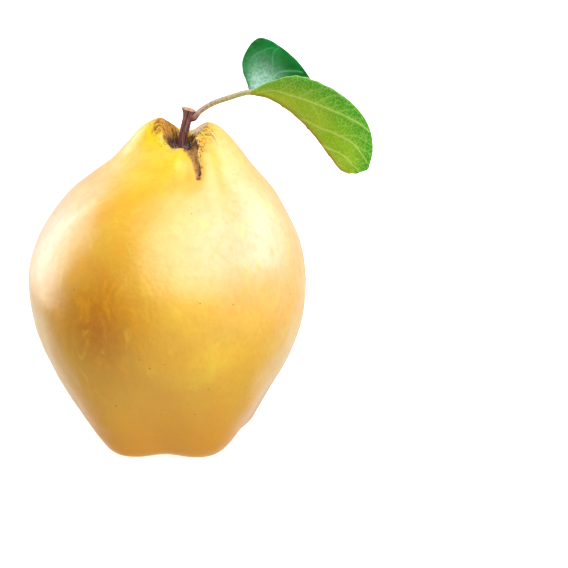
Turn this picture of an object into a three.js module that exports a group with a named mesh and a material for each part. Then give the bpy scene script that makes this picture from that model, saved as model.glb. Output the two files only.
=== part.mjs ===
// A ripe quince standing on the small flat spot under it, with its woody stem and one folded leaf.
// Millimetres, +Z up. The origin is the middle of the object's footprint, on the surface it stands on.
import * as THREE from 'three';

// --- Driving dimensions ---------------------------------------------------------------------------
const BELLY_RADIUS = 44; // half the fruit's greatest width
const FRUIT_HEIGHT = 103; // mean height of the rim round the stem cavity
const LEAN = 4.4; // how far the top has grown sideways, towards +X
const LEAN_START = 58; // height where the lean begins
const CAVITY_OFFSET = 1.7; // how far the stem cavity sits off the leaning middle, towards +X
const RIB_COUNT = 5; // broad ribs from the five carpels inside
const RIB_DEPTH = 0.6; // half the height of a rib on the belly
const FOOT_RIB_DEPTH = 2; // the same at the foot, where the ribs stand out as lobes
const RIB_CREST = degrees(233); // direction of one rib's crest
const FOOT_RADIUS = 19.5; // middle of the ring that the fruit rests on
const STEM_LENGTH = 13.1;
const STEM_RADIUS = 1.5;
const STALK_RADIUS = 0.85;
const LEAF_THICKNESS = 0.5;
const SEPAL_COUNT = 5;
const CAVITY_FLOOR_SHARE = 0.926; // height of the stem cavity's floor, in fruit heights
const BASIN_FLOOR_SHARE = 0.09; // height of the calyx basin's floor, in fruit heights
const CONTACT_GAP = 0.3; // clearance between pieces that grow out of one another

// --- Mesh fineness --------------------------------------------------------------------------------
const FRUIT_SEGMENTS = 72;
const FRUIT_RINGS = 58;
const STEM_SEGMENTS = 20;
const STEM_RINGS = 14;
const STALK_SEGMENTS = 12;
const STALK_RINGS = 18;
const TUFT_SEGMENTS = 14;
const TUFT_RINGS = 6;
const SEPAL_LENGTH_STEPS = 12;
const SEPAL_WIDTH_STEPS = 4;
const LEAF_LENGTH_STEPS = 26;
const LEAF_WIDTH_STEPS = 24;

// --- Small helpers --------------------------------------------------------------------------------
function degrees(angle) {
  return THREE.MathUtils.degToRad(angle);
}

// A smooth bump of height 1 at offset 0, which has faded to almost nothing at 2.5 widths.
function bell(offset, width) {
  return Math.exp(-((offset / width) ** 2));
}

// The smallest angle between two directions, with its sign.
function turnBetween(angle, direction) {
  return Math.atan2(Math.sin(angle - direction), Math.cos(angle - direction));
}

function ramp(value, from, to) {
  return THREE.MathUtils.smoothstep(value, from, to);
}

function point(x, y, z) {
  return new THREE.Vector3(x, y, z);
}

// Moves every vertex of a geometry to where the function puts it.
function reshape(geometry, place) {
  const position = geometry.getAttribute('position');
  const vertex = new THREE.Vector3();
  for (let i = 0; i < position.count; i += 1) {
    vertex.fromBufferAttribute(position, i);
    const moved = place(vertex.clone());
    position.setXYZ(i, moved.x, moved.y, moved.z);
  }
  geometry.computeVertexNormals();
  return geometry;
}

// A solid of revolution about +Z from an outline of [radius, height] pairs, listed from the bottom up.
function turned(outline, rings, segments) {
  const corners = outline.map(([radius, height]) => new THREE.Vector2(radius, height));
  const curve = new THREE.SplineCurve(corners);
  const profile = curve.getPoints(rings);
  for (const dot of profile) dot.x = Math.max(dot.x, 0);
  profile[0].x = 0;
  profile[rings].x = 0;
  return new THREE.LatheGeometry(profile, segments).rotateX(Math.PI / 2);
}

// --- The fruit ------------------------------------------------------------------------------------
// The outline runs from the middle of the calyx basin, over the foot, up the flank, over the rim of
// the stem cavity and down to where the stem stands. Radii are in belly radii, heights in fruit heights.
const FRUIT_OUTLINE = [
  [0, BASIN_FLOOR_SHARE + 0.002], [0.1, BASIN_FLOOR_SHARE], [0.2, 0.075], [0.28, 0.04], [0.34, 0.012],
  [0.4, -0.006], [0.46, -0.008], [0.515, 0.004], [0.575, 0.026], [0.655, 0.081], [0.762, 0.162],
  [0.85, 0.241], [0.918, 0.317], [0.968, 0.388], [0.99, 0.447], [0.997, 0.512], [0.982, 0.582],
  [0.944, 0.634], [0.873, 0.684], [0.761, 0.747], [0.6, 0.842], [0.482, 0.897], [0.41, 0.928],
  [0.336, 0.956], [0.273, 0.974], [0.22, 0.985], [0.17, 0.99], [0.128, 0.978], [0.092, 0.952],
  [0.062, 0.932], [0.03, CAVITY_FLOOR_SHARE], [0, CAVITY_FLOOR_SHARE],
];

const SHOULDER = { direction: degrees(188), height: 77, rise: 2.4, spread: degrees(42), reach: 8 };
const NECK_HOLLOW = { direction: degrees(190), height: 95.5, rise: -3.9, spread: degrees(48), reach: 9.5 };
const SKIN_FEATURES = [SHOULDER, NECK_HOLLOW];

// The rim round the stem cavity: two high lobes, a low saddle behind and a lower one in front.
const RIM_LOBES = [
  { direction: degrees(160), rise: 3.3, spread: degrees(44) },
  { direction: degrees(4), rise: 2.3, spread: degrees(50) },
  { direction: degrees(84), rise: -2.6, spread: degrees(36) },
  { direction: degrees(238), rise: -4.2, spread: degrees(44) },
];
const RIM_START = 87; // the rim's lobes grow from here up
const RIM_FULL = 100;
const GROOVE = { direction: degrees(287), depth: 1.8, drop: 1.4, spread: degrees(12), from: 82, to: 97 };
const FOOT_GAP = 0.55; // how far the foot lifts between its lobes, at most twice this
const FOOT_GAP_SPREAD = 6; // how far that lift reaches inwards and outwards from the foot's ring
const FOOT_GAP_FROM = 4; // height where that lift starts to fade
const FOOT_GAP_TO = 14; // height where it has faded out
const FOOT_LOBES_FROM = 2; // the foot's lobes are fullest up to this height
const FOOT_LOBES_TO = 34; // height where they have turned into the belly's shallow ribs
const LEVEL_RADIUS = 1.6; // the floors of the two hollows are quite level inside this radius
const UNEVEN_RADIUS = 8; // and rise and fall as much as the rest of the skin outside this one
const ROUND_RADIUS = 5; // the walls of the two hollows are quite round inside this radius
const RIBBED_RADIUS = 12; // and as ribbed as the rest of the skin outside this one
const SHIFT_FROM = 84; // the cavity's sideways shift starts at this height
const SHIFT_FULL = 95; // and is complete at this one
const SHIFT_INNER = 6; // radius inside which the whole cavity shifts
const SHIFT_OUTER = 18; // radius where the shift has faded out

function ribWave(angle) {
  return Math.cos(RIB_COUNT * (angle - RIB_CREST));
}

function swelling(feature, angle, height) {
  const round = bell(turnBetween(angle, feature.direction), feature.spread);
  return feature.rise * round * bell(height - feature.height, feature.reach);
}

function growFruit(vertex) {
  const angle = Math.atan2(vertex.y, vertex.x);
  const radius = Math.hypot(vertex.x, vertex.y);
  const height = vertex.z;
  const uneven = ramp(radius, LEVEL_RADIUS, UNEVEN_RADIUS);
  const ribbed = ramp(radius, ROUND_RADIUS, RIBBED_RADIUS);
  const foot = 1 - ramp(height, FOOT_LOBES_FROM, FOOT_LOBES_TO);

  let swell = (RIB_DEPTH + (FOOT_RIB_DEPTH - RIB_DEPTH) * foot) * ribWave(angle);
  for (const feature of SKIN_FEATURES) swell += swelling(feature, angle, height);
  const groove = bell(turnBetween(angle, GROOVE.direction), GROOVE.spread)
    * ramp(height, GROOVE.from, GROOVE.to);
  swell -= GROOVE.depth * groove;

  let rise = -GROOVE.drop * groove;
  for (const lobe of RIM_LOBES) {
    const round = bell(turnBetween(angle, lobe.direction), lobe.spread);
    rise += lobe.rise * round * ramp(height, RIM_START, RIM_FULL);
  }
  const nearRing = bell(radius - FOOT_RADIUS, FOOT_GAP_SPREAD);
  const nearGround = 1 - ramp(height, FOOT_GAP_FROM, FOOT_GAP_TO);
  rise += FOOT_GAP * (1 - ribWave(angle)) * nearRing * nearGround;

  const stretch = radius > 0 ? 1 + (swell * ribbed) / radius : 1;
  const lean = LEAN * Math.max(0, (height - LEAN_START) / (FRUIT_HEIGHT - LEAN_START));
  const inCavity = ramp(height, SHIFT_FROM, SHIFT_FULL) * (1 - ramp(radius, SHIFT_INNER, SHIFT_OUTER));
  const shift = CAVITY_OFFSET * inCavity;
  const z = Math.max(0, height + rise * uneven);
  return point(vertex.x * stretch + lean + shift, vertex.y * stretch, z);
}

function makeFruit() {
  const inBellies = ([radius, height]) => [radius * BELLY_RADIUS, height * FRUIT_HEIGHT];
  return reshape(turned(FRUIT_OUTLINE.map(inBellies), FRUIT_RINGS, FRUIT_SEGMENTS), growFruit);
}

// --- Stem, leaf stalk and calyx -------------------------------------------------------------------
// A tapered round piece along a path: radiusAt gives its radius from 0 at the start to 1 at the end.
function taperedAlong(path, radiusAt, rings, segments) {
  const length = path.getLength();
  const profile = [new THREE.Vector2(0, 0)];
  for (let ring = 0; ring <= rings; ring += 1) {
    const along = ring / rings;
    profile.push(new THREE.Vector2(radiusAt(along), along * length));
  }
  profile.push(new THREE.Vector2(0, length));
  const straight = new THREE.LatheGeometry(profile, segments).rotateX(Math.PI / 2);
  const side = point(0, 1, 0);
  return reshape(straight, (vertex) => {
    const along = THREE.MathUtils.clamp(vertex.z / length, 0, 1);
    const tangent = path.getTangentAt(along);
    const across = new THREE.Vector3().crossVectors(side, tangent).normalize();
    const deep = new THREE.Vector3().crossVectors(tangent, across);
    return path.getPointAt(along).addScaledVector(across, vertex.x).addScaledVector(deep, vertex.y);
  });
}

const CAVITY_FLOOR = CAVITY_FLOOR_SHARE * FRUIT_HEIGHT;
const CAVITY_LEAN = (LEAN * (CAVITY_FLOOR - LEAN_START)) / (FRUIT_HEIGHT - LEAN_START);
const STEM_BASE = point(CAVITY_LEAN + CAVITY_OFFSET, 0, CAVITY_FLOOR + CONTACT_GAP);
const STEM_TILT = degrees(11.7); // the stem leans the same way as the fruit
const STEM_TOP = point(
  STEM_BASE.x + STEM_LENGTH * Math.sin(STEM_TILT),
  0,
  STEM_BASE.z + STEM_LENGTH * Math.cos(STEM_TILT),
);

function makeStem() {
  const middle = STEM_BASE.clone().lerp(STEM_TOP, 0.5).add(point(-0.25, 0, 0));
  const path = new THREE.CatmullRomCurve3([STEM_BASE, middle, STEM_TOP]);
  // The cut top has a wider lip.
  const radiusAt = (along) => STEM_RADIUS * (0.95 + 0.32 * ramp(along, 0.7, 1));
  return taperedAlong(path, radiusAt, STEM_RINGS, STEM_SEGMENTS);
}

const STALK_START = point(STEM_TOP.x + 2.5, 0, STEM_TOP.z - 1.9);
const STALK_END = point(26.2, -2, 114.5);

function makeLeafStalk() {
  const path = new THREE.CatmullRomCurve3([
    STALK_START,
    point(11.6, 0, 108.2),
    point(15.6, -0.4, 110.7),
    point(20.9, -1.3, 112.8),
    STALK_END,
  ]);
  // Thick where it forks from the stem, and slightly thicker again where the blade begins.
  const radiusAt = (along) => {
    const forkSwell = 0.55 * (1 - ramp(along, 0, 0.22));
    const bladeSwell = 0.1 * ramp(along, 0.85, 1);
    return STALK_RADIUS * (0.92 + forkSwell + bladeSwell);
  };
  return taperedAlong(path, radiusAt, STALK_RINGS, STALK_SEGMENTS);
}

const BASIN_FLOOR = BASIN_FLOOR_SHARE * FRUIT_HEIGHT;
const TUFT_TIP = 3.6; // height of the tuft's tip, which hangs clear of the surface below
const TUFT_TOP = BASIN_FLOOR - CONTACT_GAP - 0.25;
const TUFT_TIP_RADIUS = 0.9;
const TUFT_TOP_RADIUS = 1.8;

function makeStamenTuft() {
  const path = new THREE.LineCurve3(point(0, 0, TUFT_TIP), point(0, 0, TUFT_TOP));
  const radiusAt = (along) => THREE.MathUtils.lerp(TUFT_TIP_RADIUS, TUFT_TOP_RADIUS, along);
  return taperedAlong(path, radiusAt, TUFT_RINGS, TUFT_SEGMENTS);
}

const SEPAL_THICKNESS = 0.55;
const SEPAL_TIP_HALF_WIDTH = 0.35;
const SEPAL_BASE_HALF_WIDTH = 1.7;
const SEPAL_CUP = 0.5; // how far a sepal's long edges curl up

// One dried sepal, from under the basin floor outwards and down, its tip curled back.
function makeSepal() {
  const path = new THREE.CatmullRomCurve3([
    point(2.9, 0, BASIN_FLOOR - 0.85),
    point(3.9, 0, 6.3),
    point(5.2, 0, 4.1),
    point(6.9, 0, 2.9),
    point(8.3, 0, 3.3),
  ]);
  const side = point(0, 1, 0);
  const plate = new THREE.BoxGeometry(1, 1, 1, SEPAL_LENGTH_STEPS, SEPAL_WIDTH_STEPS, 1);
  return reshape(plate, (vertex) => {
    const along = vertex.x + 0.5;
    const tangent = path.getTangentAt(along);
    const through = new THREE.Vector3().crossVectors(tangent, side);
    const fullness = (1 - along) ** 0.6;
    const halfWidth = THREE.MathUtils.lerp(SEPAL_TIP_HALF_WIDTH, SEPAL_BASE_HALF_WIDTH, fullness);
    const cupped = SEPAL_CUP * (2 * vertex.y) ** 2;
    return path.getPointAt(along)
      .addScaledVector(side, 2 * vertex.y * halfWidth)
      .addScaledVector(through, vertex.z * SEPAL_THICKNESS + cupped);
  });
}

// --- The leaf -------------------------------------------------------------------------------------
// The blade is folded along its midrib. One half leans forwards over the fold, the other stands
// behind it. Each half is ruled between the midrib and its own margin, and bows slightly outwards.
const MIDRIB = new THREE.CatmullRomCurve3([
  point(26.9, -2, 114.7), point(32.8, -3.7, 113.6), point(39.5, -6.6, 110.1), point(45.9, -10.6, 104.8),
  point(51.4, -14.8, 98.2), point(54.4, -17, 94.8), point(57.2, -18, 93.6),
]);
const FRONT_MARGIN = new THREE.CatmullRomCurve3([
  point(27.1, -2.7, 115.1), point(33.9, -9.5, 120), point(42.6, -15.4, 122.8), point(54.8, -18.6, 117.7),
  point(62.6, -19.2, 108.5), point(63.5, -19.2, 98.5), point(59.2, -18.6, 93.6),
]);
const BACK_MARGIN = new THREE.CatmullRomCurve3([
  point(26.5, -1.4, 115.2), point(24.5, 0, 123.6), point(29.6, 2, 130.5), point(40.3, 2, 124.4),
  point(49.4, -3.8, 112), point(56, -12.4, 100), point(58.2, -17.4, 94.2),
]);
const LEAF_BOW = 0.09; // how far a half bows, in parts of its own width

// A point of the blade: along runs from stalk to tip, across from the front margin (-1) to the back (1).
function bladePoint(along, across) {
  const spine = MIDRIB.getPoint(along);
  const margin = (across < 0 ? FRONT_MARGIN : BACK_MARGIN).getPoint(along);
  const reach = margin.sub(spine);
  const outwards = new THREE.Vector3().crossVectors(reach, MIDRIB.getTangent(along)).normalize();
  const bow = Math.sign(across) * LEAF_BOW * reach.length() * Math.sin(Math.PI * Math.abs(across));
  return spine.addScaledVector(reach, Math.abs(across)).addScaledVector(outwards, bow);
}

function bladeNormal(along, across) {
  const step = 0.01;
  const clampAlong = (value) => THREE.MathUtils.clamp(value, 0, 1);
  const clampAcross = (value) => THREE.MathUtils.clamp(value, -1, 1);
  const nearer = bladePoint(clampAlong(along - step), across);
  const farther = bladePoint(clampAlong(along + step), across);
  const before = bladePoint(along, clampAcross(across - step));
  const behind = bladePoint(along, clampAcross(across + step));
  return farther.sub(nearer).cross(behind.sub(before)).normalize();
}

function makeLeafBlade() {
  const sheet = new THREE.BoxGeometry(1, 1, 1, LEAF_LENGTH_STEPS, LEAF_WIDTH_STEPS, 1);
  return reshape(sheet, (vertex) => {
    const along = vertex.x + 0.5;
    const across = 2 * vertex.y;
    const lift = vertex.z * LEAF_THICKNESS;
    return bladePoint(along, across).addScaledVector(bladeNormal(along, across), lift);
  });
}

// --- Assembly -------------------------------------------------------------------------------------
function piece(name, geometry, colour, roughness) {
  const material = new THREE.MeshStandardMaterial({ color: colour, roughness, metalness: 0 });
  const mesh = new THREE.Mesh(geometry, material);
  mesh.name = name;
  return mesh;
}

const quince = new THREE.Group();
quince.add(piece('fruit', makeFruit(), '#ecc24a', 0.45));
quince.add(piece('stem', makeStem(), '#7c4d46', 0.8));
quince.add(piece('leaf_stalk', makeLeafStalk(), '#ab9a72', 0.6));
quince.add(piece('leaf_blade', makeLeafBlade(), '#5fa048', 0.5));
quince.add(piece('stamen_tuft', makeStamenTuft(), '#4a3426', 0.9));
for (let index = 0; index < SEPAL_COUNT; index += 1) {
  const sepal = piece(`sepal_${index + 1}`, makeSepal(), '#6b5238', 0.9);
  sepal.rotation.z = RIB_CREST + (2 * Math.PI * index) / SEPAL_COUNT;
  quince.add(sepal);
}

// The footprint's middle becomes the origin.
const object = new THREE.Group();
object.add(quince);
const bounds = new THREE.Box3().setFromObject(quince);
const middle = bounds.getCenter(new THREE.Vector3());
quince.position.set(-middle.x, -middle.y, -bounds.min.z);

export default object;
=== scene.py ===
"""A ripe quince standing on a pale table, with its woody stem and one folded leaf. Blender 4.5, metres."""

import math
import random

import bmesh
import bpy
import numpy as np
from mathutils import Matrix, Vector, noise


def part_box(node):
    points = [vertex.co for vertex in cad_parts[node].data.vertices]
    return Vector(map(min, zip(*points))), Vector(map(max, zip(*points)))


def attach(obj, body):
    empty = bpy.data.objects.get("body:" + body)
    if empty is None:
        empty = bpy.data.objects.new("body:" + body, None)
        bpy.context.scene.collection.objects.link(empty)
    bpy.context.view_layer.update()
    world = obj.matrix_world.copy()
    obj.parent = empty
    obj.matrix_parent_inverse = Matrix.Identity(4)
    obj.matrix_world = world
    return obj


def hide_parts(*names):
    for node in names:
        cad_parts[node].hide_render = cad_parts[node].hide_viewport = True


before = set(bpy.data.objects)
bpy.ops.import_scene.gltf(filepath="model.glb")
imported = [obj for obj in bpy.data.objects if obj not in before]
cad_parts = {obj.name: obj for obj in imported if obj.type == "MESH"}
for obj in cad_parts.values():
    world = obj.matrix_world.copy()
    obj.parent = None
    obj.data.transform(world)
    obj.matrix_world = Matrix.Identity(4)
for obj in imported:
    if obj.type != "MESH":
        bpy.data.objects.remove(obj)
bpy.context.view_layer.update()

MM = 0.001

# --- Places that come from the frame --------------------------------------------------------------
FRUIT_LOW, FRUIT_HIGH = (Vector(corner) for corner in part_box("fruit"))
STEM_LOW, STEM_HIGH = (Vector(corner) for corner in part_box("stem"))
LEAF_LOW, LEAF_HIGH = (Vector(corner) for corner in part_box("leaf_blade"))
TUFT_LOW, TUFT_HIGH = (Vector(corner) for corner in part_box("stamen_tuft"))

STEM_RADIUS = 1.5 * MM
STEM_TILT = math.radians(11.7)
FRUIT_MIDDLE = (FRUIT_LOW + FRUIT_HIGH) / 2
STEM_FOOT = Vector((STEM_LOW.x + 0.95 * STEM_RADIUS, (STEM_LOW.y + STEM_HIGH.y) / 2, STEM_LOW.z + 0.3 * MM))
CALYX = Vector(((TUFT_LOW.x + TUFT_HIGH.x) / 2, (TUFT_LOW.y + TUFT_HIGH.y) / 2, TUFT_HIGH.z))

# The leaf's guide curves, in millimetres from the middle of the fruit's foot, as the CAD's source has
# them. make_leaf finds the shift that brings them to the leaf's place in the frame.
MIDRIB = [(26.9, -2, 114.7), (32.8, -3.7, 113.6), (39.5, -6.6, 110.1), (45.9, -10.6, 104.8),
          (51.4, -14.8, 98.2), (54.4, -17, 94.8), (57.2, -18, 93.6)]
FRONT_MARGIN = [(27.1, -2.7, 115.1), (33.9, -9.5, 120), (42.6, -15.4, 122.8), (54.8, -18.6, 117.7),
                (62.6, -19.2, 108.5), (63.5, -19.2, 98.5), (59.2, -18.6, 93.6)]
BACK_MARGIN = [(26.5, -1.4, 115.2), (24.5, 0, 123.6), (29.6, 2, 130.5), (40.3, 2, 124.4),
               (49.4, -3.8, 112), (56, -12.4, 100), (58.2, -17.4, 94.2)]
STALK_PATH = [(11.6, 0, 108.2), (15.6, -0.4, 110.7), (20.9, -1.3, 112.8), (26.2, -2, 114.5)]
TIP_FULLNESS = Vector((1.0, 0, -0.9))  # rounds the leaf's blunt tip
LEAF_BOW = 0.09
LEAF_THICKNESS = 0.42  # millimetres
STALK_RADIUS = 0.85  # millimetres


# --- Small maths ----------------------------------------------------------------------------------
def smooth(value, start, end):
    """0 before start, 1 after end, with no corner between. Works on numbers and on arrays."""
    share = np.clip((value - start) / (end - start), 0.0, 1.0)
    return share * share * (3 - 2 * share)


def bell(offset, width):
    return np.exp(-((offset / width) ** 2))


def noise_at(points, cells_per_metre, octaves=1, seed=0.0):
    """Perlin noise from about -1 to 1 at each row of points."""
    shift = Vector((seed * 7.3, seed * 3.1, seed * 5.7))
    if octaves == 1:
        values = [noise.noise(Vector(p) * cells_per_metre + shift) for p in points]
    else:
        values = [noise.fractal(Vector(p) * cells_per_metre + shift, 0.9, 2.1, octaves) for p in points]
    return np.array(values)


def along_curve(points, share):
    """A point of the smooth curve through the points, from share 0 to 1."""
    count = len(points)
    place = share * (count - 1)
    index = min(int(place), count - 2)
    blend = place - index
    p1, p2 = Vector(points[index]), Vector(points[index + 1])
    p0 = Vector(points[index - 1]) if index > 0 else 2 * p1 - p2
    p3 = Vector(points[index + 2]) if index + 2 < count else 2 * p2 - p1
    gap0, gap1, gap2 = ((b - a).length ** 0.5 for a, b in ((p0, p1), (p1, p2), (p2, p3)))
    leave = ((p1 - p0) / gap0 - (p2 - p0) / (gap0 + gap1) + (p2 - p1) / gap1) * gap1
    arrive = ((p2 - p1) / gap1 - (p3 - p1) / (gap1 + gap2) + (p3 - p2) / gap2) * gap1
    cubic = 2 * p1 - 2 * p2 + leave + arrive
    square = -3 * p1 + 3 * p2 - 2 * leave - arrive
    return p1 + leave * blend + square * blend ** 2 + cubic * blend ** 3


# --- Building meshes ------------------------------------------------------------------------------
def add_piece(name, vertices, faces, material, *replaced, slot):
    """A smooth-shaded mesh piece that rides on the root body and stands for the CAD nodes named."""
    mesh = bpy.data.meshes.new(name)
    mesh.from_pydata([tuple(v) for v in vertices], [], faces)
    return dress(mesh, name, material, *replaced, slot=slot)


def dress(mesh, name, material, *replaced, slot):
    mesh.polygons.foreach_set("use_smooth", [True] * len(mesh.polygons))
    mesh.materials.clear()
    mesh.materials.append(material)
    mesh.update()
    piece = bpy.data.objects.new(name, mesh)
    bpy.context.scene.collection.objects.link(piece)
    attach(piece, "root")
    if replaced:
        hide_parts(*replaced)
    return piece


def paint(mesh, name, values):
    """Keeps one number for each vertex, for the material to read."""
    layer = mesh.attributes.new(name, "FLOAT", "POINT")
    layer.data.foreach_set("value", np.asarray(values, dtype=np.float32))


def places(mesh):
    found = np.empty(len(mesh.vertices) * 3)
    mesh.vertices.foreach_get("co", found)
    return found.reshape(-1, 3)


def normals(mesh):
    found = np.empty(len(mesh.vertices) * 3)
    mesh.vertex_normals.foreach_get("vector", found)
    return found.reshape(-1, 3)


def move(mesh, points):
    mesh.vertices.foreach_set("co", np.asarray(points, dtype=np.float32).ravel())
    mesh.update()


def relax(mesh, weight, rounds):
    """Evens a mesh out: each vertex moves towards the middle of its neighbours, by its own weight."""
    edges = np.empty(len(mesh.edges) * 2, dtype=np.int64)
    mesh.edges.foreach_get("vertices", edges)
    edges = edges.reshape(-1, 2)
    at = places(mesh)
    count = np.bincount(edges.ravel(), minlength=len(at))[:, None]
    share = weight(at)[:, None]
    for _ in range(rounds):
        total = np.zeros_like(at)
        np.add.at(total, edges[:, 0], at[edges[:, 1]])
        np.add.at(total, edges[:, 1], at[edges[:, 0]])
        at = at + share * (total / count - at)
    move(mesh, at)


def fine_copy(node, levels, weight=None, rounds=0):
    """A copy of a CAD node's mesh, made of four-sided faces and rounded by subdivision."""
    source = bmesh.new()
    source.from_mesh(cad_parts[node].data)
    bmesh.ops.remove_doubles(source, verts=source.verts, dist=2e-6)
    bmesh.ops.join_triangles(source, faces=source.faces, angle_face_threshold=1.2, angle_shape_threshold=1.2)
    coarse = bpy.data.meshes.new(node + "_coarse")
    source.to_mesh(coarse)
    source.free()
    if weight:
        relax(coarse, weight, rounds)
    helper = bpy.data.objects.new(node + "_helper", coarse)
    bpy.context.scene.collection.objects.link(helper)
    rounding = helper.modifiers.new("rounding", "SUBSURF")
    rounding.levels = levels
    evaluated = helper.evaluated_get(bpy.context.evaluated_depsgraph_get())
    fine = bpy.data.meshes.new_from_object(evaluated)
    bpy.data.objects.remove(helper)
    bpy.data.meshes.remove(coarse)
    return fine


def tube_rings(centres, radius_at, sides):
    """Rings of points round a path. radius_at(share, angle) gives the radius there."""
    rings = []
    side = Vector((0, 1, 0))
    for index, centre in enumerate(centres):
        ahead = centres[min(index + 1, len(centres) - 1)] - centres[max(index - 1, 0)]
        across = side.cross(ahead).normalized()
        if across.length < 0.5:
            across = Vector((1, 0, 0))
        deep = ahead.cross(across).normalized()
        share = index / (len(centres) - 1)
        ring = []
        for step in range(sides):
            angle = 2 * math.pi * step / sides
            reach = radius_at(share, angle)
            ring.append(centre + reach * (math.cos(angle) * across + math.sin(angle) * deep))
        rings.append(ring)
    return rings


def skin_over(rings):
    """Vertices and faces of a closed body over rings of equal length."""
    sides = len(rings[0])
    vertices = [point for ring in rings for point in ring]
    faces = []
    for row in range(len(rings) - 1):
        for step in range(sides):
            after = (step + 1) % sides
            low, high = row * sides, (row + 1) * sides
            faces.append((low + step, low + after, high + after, high + step))
    top = (len(rings) - 1) * sides
    faces.append(tuple(range(sides - 1, -1, -1)))
    faces.append(tuple(range(top, top + sides)))
    return vertices, faces


# --- Building materials ---------------------------------------------------------------------------
class Shader:
    """A material and its node tree, built from small calls that hand back sockets."""

    def __init__(self, name):
        self.material = bpy.data.materials.new(name)
        self.material.use_nodes = True
        self.tree = self.material.node_tree
        self.tree.nodes.clear()
        self.place = self.node("TexCoord").outputs["Object"]

    def node(self, kind, inputs=None, **settings):
        made = self.tree.nodes.new("ShaderNode" + kind)
        for key, value in settings.items():
            setattr(made, key, value)
        for key, value in (inputs or {}).items():
            self.feed(made.inputs[key], value)
        return made

    def feed(self, socket, value):
        if isinstance(value, bpy.types.NodeSocket):
            self.tree.links.new(value, socket)
        else:
            socket.default_value = value

    def noise(self, scale, detail=3.0, roughness=0.5, place=None, distortion=0.0):
        made = self.node("TexNoise", {"Vector": place or self.place, "Scale": scale, "Detail": detail,
                                      "Roughness": roughness, "Distortion": distortion})
        return made.outputs["Fac"]

    def cells(self, scale, feature="F1", output="Distance"):
        made = self.node("TexVoronoi", {"Vector": self.place, "Scale": scale}, feature=feature)
        return made.outputs[output]

    def painted(self, name):
        return self.node("Attribute", attribute_name=name).outputs["Fac"]

    def spread(self, value, low, high, to_low=0.0, to_high=1.0):
        """Maps low..high to to_low..to_high, smoothly and clamped."""
        made = self.node("MapRange", {"Value": value, "From Min": low, "From Max": high, "To Min": to_low,
                                      "To Max": to_high}, interpolation_type="SMOOTHSTEP")
        return made.outputs["Result"]

    def maths(self, operation, first, second=0.5):
        made = self.node("Math", operation=operation)
        self.feed(made.inputs[0], first)
        self.feed(made.inputs[1], second)
        return made.outputs[0]

    def mix(self, share, first, second):
        made = self.node("Mix", data_type="RGBA")
        self.feed(made.inputs[0], share)
        self.feed(made.inputs[6], first)
        self.feed(made.inputs[7], second)
        return made.outputs[2]

    def bump(self, height, strength, distance, under=None):
        inputs = {"Height": height, "Strength": strength, "Distance": distance}
        if under is not None:
            inputs["Normal"] = under
        return self.node("Bump", inputs).outputs["Normal"]

    def finish(self, colour, roughness, normal=None, varying=None, **constants):
        inputs = {"Base Color": colour, "Roughness": roughness, **(varying or {})}
        surface = self.node("BsdfPrincipled", inputs)
        if normal is not None:
            self.feed(surface.inputs["Normal"], normal)
        for key, value in constants.items():
            surface.inputs[key.replace("_", " ")].default_value = value
        self.node("OutputMaterial", {"Surface": surface.outputs[0]})
        return self.material


def colour(red, green, blue):
    """A colour given as it looks on screen, from 0 to 255, turned into light values."""
    def light(value):
        share = value / 255
        return share / 12.92 if share <= 0.04045 else ((share + 0.055) / 1.055) ** 2.4
    return (light(red), light(green), light(blue), 1.0)


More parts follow.
